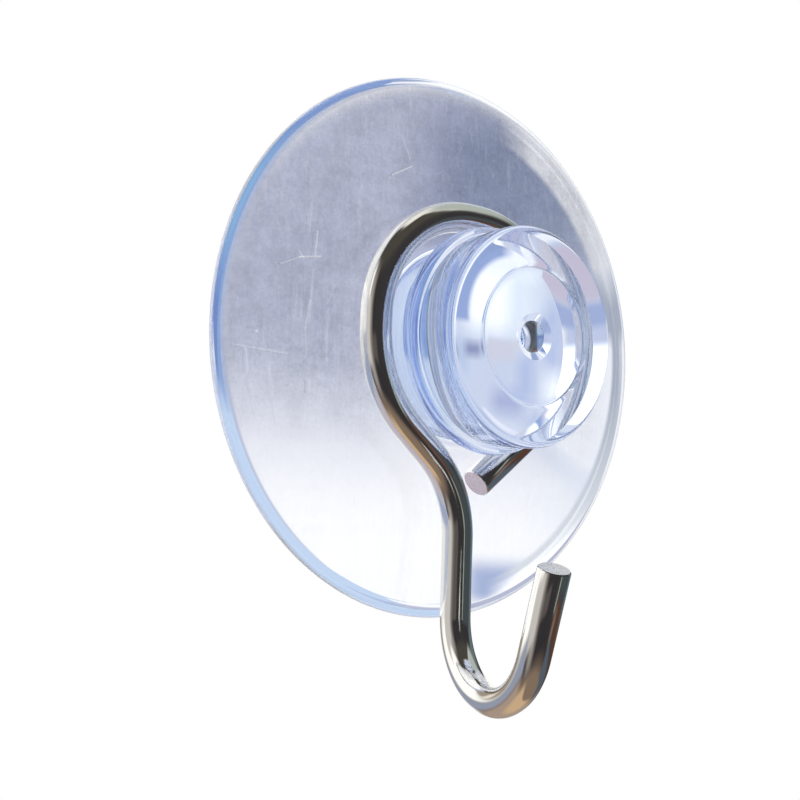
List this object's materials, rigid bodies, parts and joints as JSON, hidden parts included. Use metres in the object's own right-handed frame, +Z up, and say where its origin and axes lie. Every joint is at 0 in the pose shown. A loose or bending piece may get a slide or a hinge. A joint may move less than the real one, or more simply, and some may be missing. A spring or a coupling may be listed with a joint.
{
  "type": "suction cup hook",
  "caption": "Clear soft suction cup with a stepped knob, and a bent plated wire hook that turns round its neck, for hanging light things on a smooth wall.",
  "frame": {"origin": "middle of the sealing rim, on the wall plane", "axes": "+Y along the cup's axis into the wall, +Z up, the knob stands out towards -Y and the hook hangs towards -Z"},
  "size_m": [0.045, 0.0184, 0.0517],
  "materials": {
    "clear_plastic": "clear soft moulding with a faint blue tint, gloss knob, lightly scratched disc",
    "plated_wire": "bright plated, slightly worn"
  },
  "bodies": {
    "cup": {"suction_cup": "clear_plastic"},
    "hook": {"wire_hook": "plated_wire"}
  },
  "joints": [
    {"name": "hook_swivel", "type": "hinge", "parent": "cup", "child": "hook", "pos_m": [0, -0.0035, 0], "axis": [0, 1, 0], "continuous": true}
  ]
}
